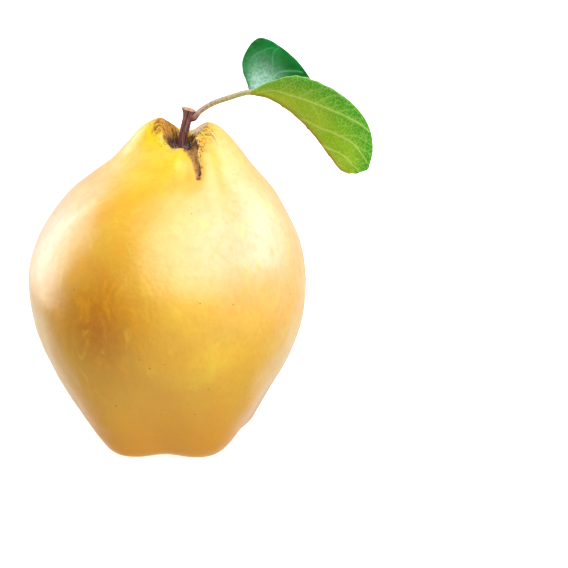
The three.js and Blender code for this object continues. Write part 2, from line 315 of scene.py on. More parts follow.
# --- The fruit's skin -----------------------------------------------------------------------------
def fruit_skin_material():
    shader = Shader("quince_skin")
    broad = shader.noise(26, detail=2)
    patches = shader.noise(75, detail=3, distortion=0.4)
    mottle = shader.noise(420, detail=3, roughness=0.6)
    ragged = shader.noise(900, detail=4, roughness=0.65, distortion=0.6)

    ripe = shader.mix(shader.spread(broad, 0.36, 0.64), colour(240, 179, 8), colour(246, 194, 14))
    ripe = shader.mix(shader.spread(patches, 0.4, 0.85, 0.0, 0.55), ripe, colour(248, 206, 32))
    lemon_top = shader.maths("MULTIPLY", shader.painted("lemon_top"), shader.spread(patches, 0.25, 0.6))
    golden = shader.spread(shader.noise(48, detail=3, distortion=0.8), 0.5, 0.68, 0.0, 0.35)
    ripe = shader.mix(golden, ripe, colour(243, 170, 6))
    ripe = shader.mix(lemon_top, ripe, colour(252, 216, 8))
    # Painted shade: a darker amber band at mid-height on the front left.
    ripe = shader.mix(shader.painted("painted_shade_band"), ripe, colour(190, 112, 2))
    # Painted highlights: pale cream patches on the front right and on the left.
    ripe = shader.mix(shader.painted("pale"), ripe, colour(253, 210, 182))
    hanging = shader.node("Mapping", {"Vector": shader.place, "Scale": (1.0, 1.0, 0.45)}).outputs["Vector"]
    blush = shader.noise(210, detail=4, roughness=0.6, place=hanging, distortion=0.7)
    ripe = shader.mix(shader.spread(blush, 0.52, 0.74, 0.0, 0.45), ripe, colour(246, 172, 18))
    ripe = shader.mix(shader.spread(blush, 0.46, 0.3, 0.0, 0.3), ripe, colour(251, 218, 56))
    green = shader.maths("MULTIPLY", shader.painted("green"), shader.spread(ragged, 0.35, 0.62))
    ripe = shader.mix(green, ripe, colour(206, 200, 8))
    ripe = shader.mix(shader.spread(mottle, 0.42, 0.75, 0.0, 0.3), ripe, colour(232, 160, 8))
    # Darker, deeper orange towards the foot.
    ripe = shader.mix(shader.maths("MULTIPLY", shader.painted("deep"), 0.85), ripe, colour(234, 155, 4))

    # Small brown breathing pores, only in some of the cells.
    pore = shader.spread(shader.cells(260), 0.085, 0.045)
    lottery = shader.spread(shader.cells(260, output="Color"), 0.62, 0.66)
    ripe = shader.mix(shader.maths("MULTIPLY", pore, shader.maths("MULTIPLY", lottery, 0.7)), ripe,
                      colour(146, 92, 30))

    # Corky russet round the stem, in the groove and round the calyx, frayed into streaks that run
    # towards the stem, with dark fibres and pale wisps over it.
    funnel = shader.node("Attribute", attribute_name="funnel").outputs["Vector"]
    streak = shader.noise(1.5, detail=4, roughness=0.65, place=funnel)
    fibres = shader.noise(2.1, detail=5, roughness=0.7, place=funnel, distortion=0.5)
    cork = shader.maths("ADD", shader.painted("russet"), shader.maths("MULTIPLY", streak, 0.9))
    cork = shader.maths("ADD", cork, shader.maths("MULTIPLY", ragged, 0.4))
    cork = shader.spread(cork, 0.92, 1.34)
    cork_tone = shader.mix(shader.spread(fibres, 0.38, 0.6), colour(98, 54, 32), colour(190, 130, 82))
    cork_tone = shader.mix(shader.painted("golden_rim"), cork_tone, colour(212, 146, 34))
    cork_tone = shader.mix(shader.spread(ragged, 0.54, 0.7, 0.0, 0.6), cork_tone, colour(92, 54, 34))
    skin = shader.mix(shader.maths("MULTIPLY", cork, 0.88), ripe, cork_tone)
    scorch = shader.maths("ADD", shader.painted("scorch"), shader.maths("MULTIPLY", fibres, 1.1))
    scorch = shader.maths("ADD", scorch, shader.maths("MULTIPLY", ragged, 0.4))
    scorch = shader.spread(scorch, 1.18, 1.5)
    skin = shader.mix(shader.maths("MULTIPLY", scorch, 0.92), skin, colour(62, 30, 16))
    wander = shader.noise(1.25, detail=3, roughness=0.6, place=funnel, distortion=0.8)
    crack = shader.spread(shader.maths("ABSOLUTE", shader.maths("SUBTRACT", wander, 0.5)), 0.05, 0.012)
    crack = shader.maths("MULTIPLY", crack, shader.spread(ragged, 0.3, 0.5))
    crack = shader.maths("MULTIPLY", crack, shader.painted("cracked"))
    skin = shader.mix(shader.maths("MINIMUM", crack, 0.9), skin, colour(96, 42, 8))

    dull = shader.maths("MAXIMUM", shader.maths("MAXIMUM", cork, scorch), crack)
    pebble = shader.cells(760, feature="SMOOTH_F1")
    relief = shader.bump(pebble, 0.2, 0.0005)
    relief = shader.bump(mottle, 0.08, 0.0004, under=relief)
    relief = shader.bump(shader.maths("MULTIPLY", cork, ragged), 0.5, 0.0004, under=relief)
    roughness = shader.spread(mottle, 0.3, 0.75, 0.37, 0.48)
    roughness = shader.maths("ADD", roughness, shader.maths("MULTIPLY", dull, 0.5))
    # Less wax on cork, low on the belly, and in the painted shade band (see make_fruit for what that band
    # is).
    low_belly = shader.maths("MULTIPLY", shader.painted("deep"), 0.7)
    bare = shader.maths("MAXIMUM", shader.painted("painted_shade_band"), low_belly)
    worn = shader.maths("MAXIMUM", dull, shader.maths("MULTIPLY", bare, 0.8))
    wax = shader.spread(worn, 0.0, 0.8, 1.0, 0.1)
    return shader.finish(skin, roughness, relief, {"Coat Weight": wax}, Subsurface_Weight=0.06,
                         Subsurface_Radius=(1.0, 0.6, 0.2), Subsurface_Scale=0.003,
                         Coat_Roughness=0.37, Specular_IOR_Level=0.55)


GROOVE_START = Vector((8.0, -6.6, 97.8))  # millimetres from the middle of the foot, as the leaf's curves
GROOVE_END = Vector((11.2, -18.0, 91.5))
GROOVE_OUTWARDS = Vector((0.2, -0.7, 0.68))
FRONT_DIP = Vector((2.2, -5.5, 2.4)) * MM  # where the rim is lowest, measured from the stem's foot


def make_fruit(shift):
    def round_belly(at):
        return 0.5 * smooth(at[:, 2], 22 * MM, 40 * MM) * (1 - smooth(at[:, 2], 78 * MM, 90 * MM))

    mesh = fine_copy("fruit", 2, round_belly, 40)
    at = places(mesh)
    out = normals(mesh)
    height = at[:, 2]
    to_stem = at - np.array(STEM_FOOT)
    stem_distance = np.hypot(to_stem[:, 0], to_stem[:, 1])
    turn = np.arctan2(to_stem[:, 1], to_stem[:, 0])
    in_cavity = 1 - smooth(stem_distance, 3 * MM, 11 * MM)
    in_cavity *= smooth(height, STEM_FOOT.z - 6 * MM, STEM_FOOT.z)
    to_calyx = np.hypot(at[:, 0] - CALYX.x, at[:, 1] - CALYX.y)
    in_basin = (1 - smooth(to_calyx, 6 * MM, 16 * MM)) * (1 - smooth(height, 9 * MM, 14 * MM))

    # The groove that runs down the front from the stem cavity.
    start, end = (shift + point * MM for point in (GROOVE_START, GROOVE_END))
    line = np.array(end - start)
    share = (at - np.array(start)) @ line / (line @ line)
    wander = 0.5 * MM * noise_at(at, 260, seed=3)
    across_groove = np.cross(line, np.array(GROOVE_OUTWARDS))
    across_groove /= np.linalg.norm(across_groove)
    beyond = np.maximum(0, np.abs(share - 0.45) - 0.55) * np.linalg.norm(line)
    groove_side = (at - np.array(start)) @ across_groove + wander
    groove_distance = np.hypot(groove_side, beyond) + 9 * MM * (at[:, 1] > start.y + 3 * MM)
    groove_width = (2.0 - 1.25 * np.clip(share, 0, 1)) * MM
    groove = bell(groove_distance, groove_width)

    folds_at = np.stack([np.cos(turn) * 2.4, np.sin(turn) * 2.4, stem_distance * 55], axis=1)
    folds = noise_at(folds_at, 1.0, seed=1) * in_cavity * smooth(stem_distance, 0.5 * MM, 3 * MM)
    basin_turn = np.arctan2(at[:, 1] - CALYX.y, at[:, 0] - CALYX.x)
    pleats_at = np.stack([np.cos(basin_turn) * 3, np.sin(basin_turn) * 3, to_calyx * 40], axis=1)
    pleats = noise_at(pleats_at, 1.0, seed=2) * in_basin * smooth(to_calyx, 1 * MM, 5 * MM)

    # Evening out the belly shrinks it, and the 2.3 mm give that size back.
    lift = 1.0 * MM * bell(height - 58 * MM, 22 * MM)
    lift += 2.3 * MM * smooth(height, 20 * MM, 40 * MM) * (1 - smooth(height, 76 * MM, 92 * MM))
    lift += 0.55 * MM * noise_at(at, 38, octaves=2, seed=4)
    lift += 0.28 * MM * noise_at(at, 80, octaves=2, seed=12)
    lift += 0.045 * MM * noise_at(at, 210, octaves=2, seed=5)
    lift += 0.6 * MM * folds + 0.5 * MM * pleats
    lift -= 1.0 * MM * groove
    left_peak = np.linalg.norm(to_stem - np.array((-9, 1, 7)) * MM, axis=1)
    lift += 0.9 * MM * bell(left_peak, 5.5 * MM)
    lift *= smooth(height, 0.2 * MM, 5 * MM) + in_basin
    moved = at + out * lift[:, None]
    dip = np.linalg.norm(at - np.array(STEM_FOOT + FRONT_DIP), axis=1)
    moved[:, 2] -= 1.5 * MM * bell(dip, 4.2 * MM)
    moved[:, 2] = np.maximum(moved[:, 2], 0)
    moved[height < 0.02 * MM, 2] = 0
    move(mesh, moved)

    ragged = noise_at(at, 330, octaves=3, seed=6)
    near_top = smooth(height, STEM_FOOT.z - 7 * MM, STEM_FOOT.z - 2 * MM)
    leftwards = 0.5 + 0.5 * np.cos(turn - math.radians(160))
    rightwards = 0.5 + 0.5 * np.cos(turn + math.radians(36))
    russet_reach = (4.4 + 5.5 * leftwards ** 2 + 4 * rightwards ** 6 + 1.5 * ragged) * MM
    russet = near_top * (1 - smooth(stem_distance, russet_reach * 0.55, russet_reach))
    russet += 0.85 * groove
    russet += 0.8 * in_basin
    scorch_reach = (5.0 + 2.0 * rightwards + 1.2 * ragged) * MM
    scorch = 1.1 * near_top * (1 - smooth(stem_distance, scorch_reach * 0.5, scorch_reach * 1.25))
    scorch *= 1 - 0.75 * smooth(height, STEM_FOOT.z + 2.5 * MM, STEM_FOOT.z + 5.5 * MM)
    crack_reach = (7.0 + 3.0 * leftwards ** 2 + 7.5 * rightwards ** 4 + 3.0 * ragged) * MM
    cracked = 1.2 * near_top * (1 - smooth(stem_distance, crack_reach * 0.6, crack_reach))
    beside = bell(groove_side + 1.5 * groove_width, 1.6 * MM) * (groove_distance < 6 * MM)
    cracked += 0.9 * beside * (share > -0.1) * (share < 0.8)
    right_edge = bell(groove_side + 0.8 * groove_width, 0.6 * MM) * (share > -0.1) * (share < 0.95)
    scorch += 0.6 * right_edge * (groove_distance < 4 * MM) + 0.5 * groove * smooth(share, 0.7, 0.0)
    scorch += 0.4 * groove * bell(share - 0.85, 0.14)
    right_of_stem = smooth(at[:, 0], STEM_FOOT.x, STEM_FOOT.x + 12 * MM)
    # Lighter lemon yellow towards the top, less of it right of the stem.
    lemon_top = smooth(height, 84 * MM, 100 * MM) * (1 - 0.7 * right_of_stem)
    # Darker, deeper orange towards the foot.
    deep = 1 - smooth(height, 4 * MM, 42 * MM)
    round_axis = np.arctan2(at[:, 1], at[:, 0])
    # These two are not marks of the skin: they were placed over the photograph's shade band and its
    # highlights, so they paint some of its light into the colour. They are a fault.
    # Painted shade band: darker amber at mid-height on the front left.
    painted_shade_band = 0.9 * bell(height - 53 * MM, 20 * MM) * bell(round_axis + 2.2, 0.31)
    # Painted highlights: a broad one on the front right and a smaller one on the left.
    pale = 0.92 * bell(height - 75 * MM, 19.5 * MM) * bell(round_axis + 0.85, 0.72)
    pale *= 0.8 + 0.2 * noise_at(at, 90, seed=13)
    pale += 0.45 * bell(height - 74 * MM, 12 * MM) * bell(np.abs(round_axis) - 2.95, 0.45)
    green = 0.3 * bell(stem_distance - 15 * MM, 5 * MM) * bell(turn + math.radians(132), 0.6) * near_top
    golden_rim = 0.85 * near_top * smooth(height, STEM_FOOT.z + 2.5 * MM, STEM_FOOT.z + 6.5 * MM)
    layers = {"russet": russet, "scorch": scorch, "cracked": cracked, "lemon_top": lemon_top, "deep": deep,
              "painted_shade_band": painted_shade_band, "pale": pale, "green": green, "golden_rim": golden_rim}
    for name, values in layers.items():
        paint(mesh, name, np.clip(values, 0, 1.5))
    funnel = np.stack([np.cos(turn) * 6, np.sin(turn) * 6, stem_distance / MM * 0.3], axis=1)
    layer = mesh.attributes.new("funnel", "FLOAT_VECTOR", "POINT")
    layer.data.foreach_set("vector", funnel.astype(np.float32).ravel())
    return dress(mesh, "quince_fruit", fruit_skin_material(), "fruit", slot="fruit_skin")


# --- Stem and leaf stalk --------------------------------------------------------------------------
def bark_material():
    shader = Shader("stem_bark")
    cut = shader.painted("cut")
    stretched = shader.node("Mapping", {"Vector": shader.place, "Scale": (1.0, 1.0, 0.16)}).outputs["Vector"]
    fibre = shader.noise(2600, detail=4, roughness=0.6, place=stretched)
    patch = shader.noise(420, detail=3)
    bark = shader.mix(shader.spread(fibre, 0.32, 0.68), colour(86, 42, 44), colour(172, 116, 112))
    bark = shader.mix(shader.spread(patch, 0.5, 0.72, 0.0, 0.5), bark, colour(136, 66, 56))
    # Darker in the hollows between the ridges.
    bark = shader.mix(shader.maths("MULTIPLY", shader.painted("hollow"), 0.75), bark, colour(44, 22, 24))
    wood = shader.mix(shader.noise(1500, detail=3), colour(168, 116, 84), colour(218, 174, 140))
    wood = shader.mix(shader.painted("pith"), wood, colour(150, 96, 66))
    tone = shader.mix(cut, bark, wood)
    relief = shader.bump(fibre, 0.5, 0.00025)
    return shader.finish(tone, shader.spread(fibre, 0.3, 0.7, 0.62, 0.8), relief)


def ridges(angle, share):
    """Lengthwise ridges of the dried stem, from -1 to 1, that wander a little on the way up."""
    drift = 0.5 * math.sin(2.2 * share + 1.0)
    return (0.55 * math.sin(5 * (angle + drift)) + 0.3 * math.sin(9 * angle - 1.3 * share + 1.7)
            + 0.25 * math.sin(14 * angle + 2.1 * share + 0.4))


def make_stem():
    axis = Vector((math.sin(STEM_TILT), 0, math.cos(STEM_TILT)))
    length = (STEM_HIGH.z - STEM_FOOT.z - 0.4 * MM) / axis.z
    foot = STEM_FOOT - axis * 0.8 * MM
    rows, sides = 90, 96

    def radius_at(share, angle):
        lip = 0.32 * float(smooth(share, 0.8, 1.0)) + 0.1 * float(bell(share - 1.0, 0.05))
        lip += 0.2 * float(bell(angle - math.pi, 0.8)) * float(smooth(share, 0.86, 1.0))
        foot_flare = 0.16 * float(bell(share, 0.1))
        knot = 0.06 * noise.noise(Vector((math.cos(angle) * 1.5, math.sin(angle) * 1.5, share * 7)))
        return STEM_RADIUS * (0.93 + lip + foot_flare + knot + 0.07 * ridges(angle, share))

    def bend(share):
        return Vector((-0.25 * MM * math.sin(math.pi * share), 0, 0))

    centres = [foot + axis * (length + 0.8 * MM) * row / rows + bend(row / rows) for row in range(rows + 1)]
    rings = tube_rings(centres, radius_at, sides)
    cut_start = len(rings)
    # The cut face: rings that shrink to the middle over slightly torn wood.
    rim = rings[-1]
    middle = sum(rim, Vector()) / sides
    for step in range(1, 15):
        share = 1 - step / 15
        torn = []
        for index, point in enumerate(rim):
            flat = middle.lerp(point, share)
            grain = noise.noise(Vector((flat.x, flat.y, flat.z)) * 2300)
            dish = -0.22 * MM * (1 - share ** 2) + 0.1 * MM * grain
            torn.append(flat + axis * dish)
        rings.append(torn)
    vertices, faces = skin_over(rings)
    piece = add_piece("quince_stem", vertices, faces, bark_material(), "stem", slot="bark")
    cut, pith, hollow = [], [], []
    for row in range(len(rings)):
        for step in range(sides):
            angle = 2 * math.pi * step / sides
            inwards = max(0, row - cut_start + 1)
            cut.append(min(1.0, inwards / 1.5))
            pith.append(1.0 if inwards >= 13 else 0.0)
            hollow.append(float(smooth(-ridges(angle, min(1, row / rows)), -0.1, 0.6)) if inwards == 0 else 0)
    for name, values in {"cut": cut, "pith": pith, "hollow": hollow}.items():
        paint(piece.data, name, values)
    return middle


def stalk_material():
    shader = Shader("leaf_stalk_skin")
    share = shader.painted("share")
    streak = shader.noise(1400, detail=3)
    young = shader.mix(shader.spread(streak, 0.35, 0.65), colour(146, 158, 84), colour(186, 178, 112))
    old = shader.mix(shader.spread(streak, 0.35, 0.65), colour(156, 106, 92), colour(206, 170, 150))
    tone = shader.mix(shader.spread(share, 0.1, 0.95), old, young)
    # Paler along the upper side of the stalk.
    tone = shader.mix(shader.maths("MULTIPLY", shader.painted("above"), 0.6), tone, colour(214, 190, 172))
    tone = shader.mix(shader.spread(share, 0.32, 0.1, 0.0, 0.9), tone, colour(124, 72, 66))
    relief = shader.bump(streak, 0.3, 0.0002)
    return shader.finish(tone, 0.5, relief)


def make_leaf_stalk(shift, stem_top):
    fork = Vector((stem_top.x - 0.3 * MM, stem_top.y, stem_top.z - 3.3 * MM))
    path = [fork / MM, (fork + Vector((2.1 * MM, 0, 1.1 * MM))) / MM]
    path += [Vector(point) + shift / MM for point in STALK_PATH]
    path.append(path[-1] + Vector((1.6, -0.3, 0.0)))
    rows, sides = 150, 28

    def radius_at(share, angle):
        swell = 0.5 * float(bell(share - 0.12, 0.085)) + 0.06 * float(smooth(share, 0.85, 1))
        flat_top = -0.09 * float(bell(angle - math.pi / 2, 0.7)) if share > 0.2 else 0
        rough = 0.05 * noise.noise(Vector((math.cos(angle), math.sin(angle), share * 30)))
        narrow = 1 - 0.75 * float(smooth(share, 0.96, 1.0))
        return STALK_RADIUS * MM * (0.99 + swell + flat_top + rough) * narrow

    centres = [along_curve(path, row / rows) * MM for row in range(rows + 1)]
    rings = tube_rings(centres, radius_at, sides)
    vertices, faces = skin_over(rings)
    piece = add_piece("quince_leaf_stalk", vertices, faces, stalk_material(), "leaf_stalk", slot="stalk_skin")
    share = [row / rows for row in range(rows + 1) for _ in range(sides)]
    centre_of = [centres[row] for row in range(rows + 1) for _ in range(sides)]
    above = [max(0.0, (Vector(v) - c).normalized().z) for v, c in zip(vertices, centre_of)]
    paint(piece.data, "share", share)
    paint(piece.data, "above", above)


# --- The leaf -------------------------------------------------------------------------------------
# Each vein is a list of (along, across) points on one half: along runs from stalk to tip, and across
# from midrib (0) to margin (1). The width is in millimetres where the vein starts.
FRONT_VEINS = [
    (0.42, [(0.01, 0.02), (0.07, 0.4), (0.17, 0.54), (0.3, 0.49),
            (0.4, 0.54), (0.51, 0.67), (0.61, 0.83), (0.69, 0.97)]),
    (0.34, [(0.4, 0.0), (0.45, 0.1), (0.52, 0.2), (0.58, 0.35),
            (0.64, 0.47), (0.7, 0.58), (0.78, 0.7), (0.87, 0.9)]),
    (0.32, [(0.59, 0.0), (0.63, 0.06), (0.69, 0.19), (0.77, 0.32), (0.86, 0.44), (0.94, 0.66), (0.98, 0.85)]),
    (0.25, [(0.76, 0.0), (0.84, 0.13), (0.92, 0.33), (0.97, 0.6)]),
    (0.25, [(0.24, 0.51), (0.27, 0.68), (0.3, 0.82), (0.34, 0.93)]),
    (0.22, [(0.36, 0.51), (0.385, 0.68), (0.41, 0.84), (0.44, 0.97)]),
    (0.22, [(0.44, 0.59), (0.455, 0.75), (0.475, 0.9), (0.5, 0.98)]),
    (0.2, [(0.53, 0.7), (0.55, 0.83), (0.575, 0.97)]),
    (0.22, [(0.62, 0.43), (0.65, 0.6), (0.7, 0.78), (0.76, 0.97)]),
    (0.2, [(0.72, 0.6), (0.76, 0.76), (0.81, 0.95)]),
    (0.2, [(0.8, 0.36), (0.84, 0.55), (0.9, 0.8)]),
    (0.16, [(0.31, 0.49), (0.36, 0.33), (0.4, 0.18), (0.43, 0.08)]),
    (0.16, [(0.42, 0.55), (0.48, 0.4), (0.53, 0.24)]),
]
BACK_VEINS = [
    (0.32, [(0.01, 0.02), (0.08, 0.22), (0.16, 0.34), (0.26, 0.41),
            (0.33, 0.5), (0.39, 0.6), (0.45, 0.72), (0.54, 0.92)]),
    (0.24, [(0.01, 0.03), (0.06, 0.36), (0.12, 0.66), (0.185, 0.79),
            (0.225, 0.85), (0.27, 0.84), (0.32, 0.83), (0.39, 0.9)]),
    (0.32, [(0.27, 0.0), (0.36, 0.14), (0.46, 0.33), (0.56, 0.55), (0.66, 0.85)]),
    (0.31, [(0.47, 0.0), (0.55, 0.14), (0.64, 0.33), (0.73, 0.56), (0.82, 0.88)]),
    (0.3, [(0.66, 0.0), (0.74, 0.17), (0.83, 0.42), (0.91, 0.8)]),
    (0.22, [(0.28, 0.43), (0.33, 0.62), (0.37, 0.8), (0.42, 0.95)]),
    (0.2, [(0.17, 0.35), (0.2, 0.52), (0.23, 0.7), (0.26, 0.84)]),
    (0.2, [(0.43, 0.27), (0.48, 0.5), (0.52, 0.7)]),
]


def vein_map(veins, along, across, length, widths):
    """How much each spot of a half stands over a vein: 1 on the vein, 0 away from it."""
    width = widths.mean()
    spots = np.stack([along * length, across * width], axis=1)
    cover = np.zeros(len(spots))
    steps = 40
    for thickness, route in veins:
        corners = [(a * length, b * width, 0) for a, b in route]
        path = [np.array(along_curve(corners, step / steps)[:2]) for step in range(steps + 1)]
        for index in range(steps):
            here, there = path[index], path[index + 1]
            run = there - here
            share = np.clip(((spots - here) @ run) / max(run @ run, 1e-9), 0, 1)
            gap = np.linalg.norm(spots - (here + share[:, None] * run), axis=1)
            thinning = 1 - 0.55 * index / steps
            cover = np.maximum(cover, bell(gap, thickness * 0.75 * thinning) * (0.7 + 0.3 * thinning))
    return cover


def blade_point(along, across):
    spine = along_curve(MIDRIB, along)
    margin = along_curve(FRONT_MARGIN if across < 0 else BACK_MARGIN, along)
    if across < 0:
        margin += TIP_FULLNESS * float(bell(along - 0.925, 0.05))
    reach = margin - spine
    heading = along_curve(MIDRIB, min(1, along + 0.005)) - along_curve(MIDRIB, max(0, along - 0.005))
    outwards = reach.cross(heading).normalized()
    bow = math.copysign(1, across) * LEAF_BOW * reach.length * math.sin(math.pi * abs(across))
    return spine + reach * abs(across) + outwards * bow


def blade_grid(rows, columns):
    """Points in the middle of the leaf's thickness, rows by columns, with their along and across."""
    alongs = np.linspace(0, 1, rows)
    acrosses = np.linspace(-1, 1, columns)
    points = np.array([[blade_point(a, c) for c in acrosses] for a in alongs])
    return points, alongs, acrosses


def leaf_material():
    shader = Shader("quince_leaf")
    under = shader.painted("underside")
    vein = shader.painted("vein")
    fine_vein = shader.painted("fine_vein")
    edge = shader.painted("edge")
    base = shader.painted("base")
    patch = shader.noise(120, detail=3)
    grain = shader.noise(1500, detail=3)
    net = shader.cells(950, feature="DISTANCE_TO_EDGE")
    mesh_lines = shader.spread(net, 0.09, 0.0)
    coarse_net = shader.spread(shader.cells(330, feature="DISTANCE_TO_EDGE"), 0.06, 0.0)

    top = shader.mix(shader.spread(patch, 0.35, 0.68), colour(2, 96, 24), colour(10, 124, 50))
    # Painted reflection: a pale bluish sheen near the base of the far half's upper face.
    painted_reflection_grain = shader.maths("MULTIPLY", shader.painted("painted_reflection"), shader.spread(grain, 0.3, 0.6, 0.55, 1.0))
    top = shader.mix(shader.maths("MULTIPLY", painted_reflection_grain, 0.95), top, colour(186, 222, 206))
    top = shader.mix(shader.maths("MULTIPLY", mesh_lines, 0.25), top, colour(6, 80, 30))
    top = shader.mix(shader.maths("MULTIPLY", fine_vein, 0.35), top, colour(112, 190, 136))
    top = shader.mix(shader.maths("MULTIPLY", vein, 0.4), top, colour(136, 202, 150))

    pale = shader.mix(shader.spread(patch, 0.35, 0.65), colour(136, 184, 30), colour(162, 192, 48))
    pale = shader.mix(shader.spread(edge, 0.3, 0.95, 0.0, 0.85), pale, colour(50, 148, 44))
    pale = shader.mix(shader.maths("MULTIPLY", base, 0.5), pale, colour(186, 206, 78))
    pale = shader.mix(shader.maths("MULTIPLY", mesh_lines, 0.4), pale, colour(196, 222, 92))
    pale = shader.mix(shader.maths("MULTIPLY", coarse_net, 0.28), pale, colour(190, 220, 96))
    pale = shader.mix(shader.spread(grain, 0.5, 0.8, 0.0, 0.35), pale, colour(100, 156, 20))
    pale = shader.mix(shader.maths("MULTIPLY", fine_vein, 0.5), pale, colour(190, 216, 104))
    pale = shader.mix(shader.maths("MULTIPLY", vein, 0.7), pale, colour(206, 222, 118))
    tone = shader.mix(under, top, pale)
    tone = shader.mix(shader.painted("midrib"), tone, colour(158, 132, 44))
    # Painted highlight: light green along the near half's margin.
    tone = shader.mix(shader.painted("rim"), tone, colour(168, 220, 132))

    relief = shader.bump(mesh_lines, 0.35, 0.00018)
    relief = shader.bump(grain, 0.15, 0.0002, under=relief)
    roughness = shader.spread(under, 0.0, 1.0, 0.3, 0.62)
    return shader.finish(tone, roughness, relief, Subsurface_Weight=0.25,
                         Subsurface_Radius=(0.5, 1.0, 0.25), Subsurface_Scale=0.0012,
                         Specular_IOR_Level=0.06)


def make_leaf():
    rows, columns = 231, 161
    points, alongs, acrosses = blade_grid(rows, columns)
    low, high = points.reshape(-1, 3).min(axis=0), points.reshape(-1, 3).max(axis=0)
    shift = (LEAF_LOW + LEAF_HIGH) / 2 - Vector((low + high) / 2) * MM

    down = np.gradient(points, axis=0)
    over = np.gradient(points, axis=1)
    upper = np.cross(down, over)  # towards the face that is inside the fold
    upper /= np.maximum(np.linalg.norm(upper, axis=2), 1e-9)[..., None]

    along_of, across_of = np.meshgrid(alongs, acrosses, indexing="ij")
    along_of, across_of = along_of.ravel(), across_of.ravel()
    front = across_of < 0
    reach = np.abs(across_of)
    middle = (columns - 1) // 2
    length = np.linalg.norm(np.diff(points[:, middle], axis=0), axis=1).sum()
    half_width = {True: np.linalg.norm(points[:, 0] - points[:, middle], axis=1),
                  False: np.linalg.norm(points[:, -1] - points[:, middle], axis=1)}
    vein = np.zeros(len(reach))
    fine_vein = np.zeros(len(reach))
    for is_front, veins in ((True, FRONT_VEINS), (False, BACK_VEINS)):
        here = front == is_front
        main = [v for v in veins if v[0] > 0.3]
        small = [v for v in veins if v[0] <= 0.3]
        vein[here] = vein_map(main, along_of[here], reach[here], length, half_width[is_front])
        fine_vein[here] = vein_map(small, along_of[here], reach[here], length, half_width[is_front])
    width_here = np.where(front, np.repeat(half_width[True], columns), np.repeat(half_width[False], columns))
    from_midrib = reach * width_here
    midrib_size = 1.0 - 0.55 * along_of
    midrib = bell(from_midrib, midrib_size)
    edge_gap = (1 - reach) * width_here

    flat = points.reshape(-1, 3)
    wave = 0.35 * smooth(reach, 0.5, 1.0) * noise_at(flat * MM, 230, seed=8)
    wave += 0.25 * noise_at(flat * MM, 110, seed=9) * smooth(reach, 0.1, 0.6)
    scallops = np.sin(along_of * 95 + 2.5 * np.sin(along_of * 17)) * (1 - smooth(along_of, 0.4, 0.65))
    wave += 0.22 * scallops * smooth(edge_gap, 1.6, 0.0)
    puff = 0.16 * noise_at(flat * MM, 420, seed=10) * (1 - vein) * smooth(edge_gap, 0.2, 1.5)
    face = upper.reshape(-1, 3)
    base_skin = flat + face * (wave + puff)[:, None]
    thin = 0.35 + 0.65 * smooth(edge_gap, 0.0, 0.8)
    half = LEAF_THICKNESS / 2
    top_side = base_skin + face * (half * thin - 0.12 * vein - 0.05 * fine_vein - 0.25 * midrib)[:, None]
    under_bulge = half * thin + 0.2 * vein + 0.1 * fine_vein + 0.95 * midrib * (0.75 - 0.45 * along_of)
    under_side = base_skin - face * under_bulge[:, None]
    vertices = np.concatenate([top_side, under_side]) * MM + np.array(shift)

    count = rows * columns
    faces = []
    for row in range(rows - 1):
        for column in range(columns - 1):
            a = row * columns + column
            b, c, d = a + 1, a + columns + 1, a + columns
            faces.append((a, b, c, d))
            faces.append((count + a, count + d, count + c, count + b))
    for row in range(rows - 1):
        for column, flip in ((0, True), (columns - 1, False)):
            a, b = row * columns + column, (row + 1) * columns + column
            wall = (a, count + a, count + b, b)
            faces.append(wall[::-1] if flip else wall)
    for column in range(columns - 1):
        for row, flip in ((0, False), (rows - 1, True)):
            a = row * columns + column
            wall = (a, count + a, count + a + 1, a + 1)
            faces.append(wall[::-1] if flip else wall)
    piece = add_piece("quince_leaf_blade", vertices, faces, leaf_material(), "leaf_blade", slot="leaf")

    base = bell(along_of, 0.3) * (1 - 0.6 * reach) + 0.7 * bell(from_midrib, 4.5) * (1 - along_of)
    # Painted highlight along the near half's margin, towards the stalk end.
    rim = front * bell(edge_gap, 0.32) * (1 - smooth(along_of, 0.35, 0.6))
    # This too was placed over a reflection in the photograph, on the far half.
    painted_reflection = (~front) * 1.15 * bell(along_of - 0.13, 0.18) * bell(reach - 0.36, 0.36)
    both = {
        "underside": np.concatenate([np.zeros(count), np.ones(count)]),
        "vein": np.tile(vein, 2), "fine_vein": np.tile(fine_vein, 2), "edge": np.tile(reach, 2),
        "midrib": np.concatenate([0.35 * midrib, 0.95 * midrib]),
        "base": np.tile(np.clip(base, 0, 1), 2), "rim": np.tile(0.75 * rim, 2),
        "painted_reflection": np.tile(painted_reflection, 2),
    }
    for name, values in both.items():
        paint(piece.data, name, values)
    return shift


# --- Dry bits: calyx and down ---------------------------------------------------------------------
def dry_material(name, dark, pale):
    shader = Shader(name)
    fibre = shader.noise(1300, detail=4, roughness=0.6)
    tone = shader.mix(shader.spread(fibre, 0.32, 0.68), dark, pale)
    return shader.finish(tone, 0.85, shader.bump(fibre, 0.6, 0.0003))


def make_sepals():
    material = dry_material("dried_sepal", colour(58, 38, 26), colour(142, 112, 80))
    for index in range(1, 6):
        node = f"sepal_{index}"
        mesh = fine_copy(node, 2)
        at = places(mesh)
        crumple = 0.3 * MM * noise_at(at, 520, octaves=2, seed=index)
        crumple += 0.12 * MM * noise_at(at, 1500, seed=index)
        move(mesh, at + normals(mesh) * crumple[:, None])
        dress(mesh, f"quince_{node}", material, node, slot="dried_calyx")


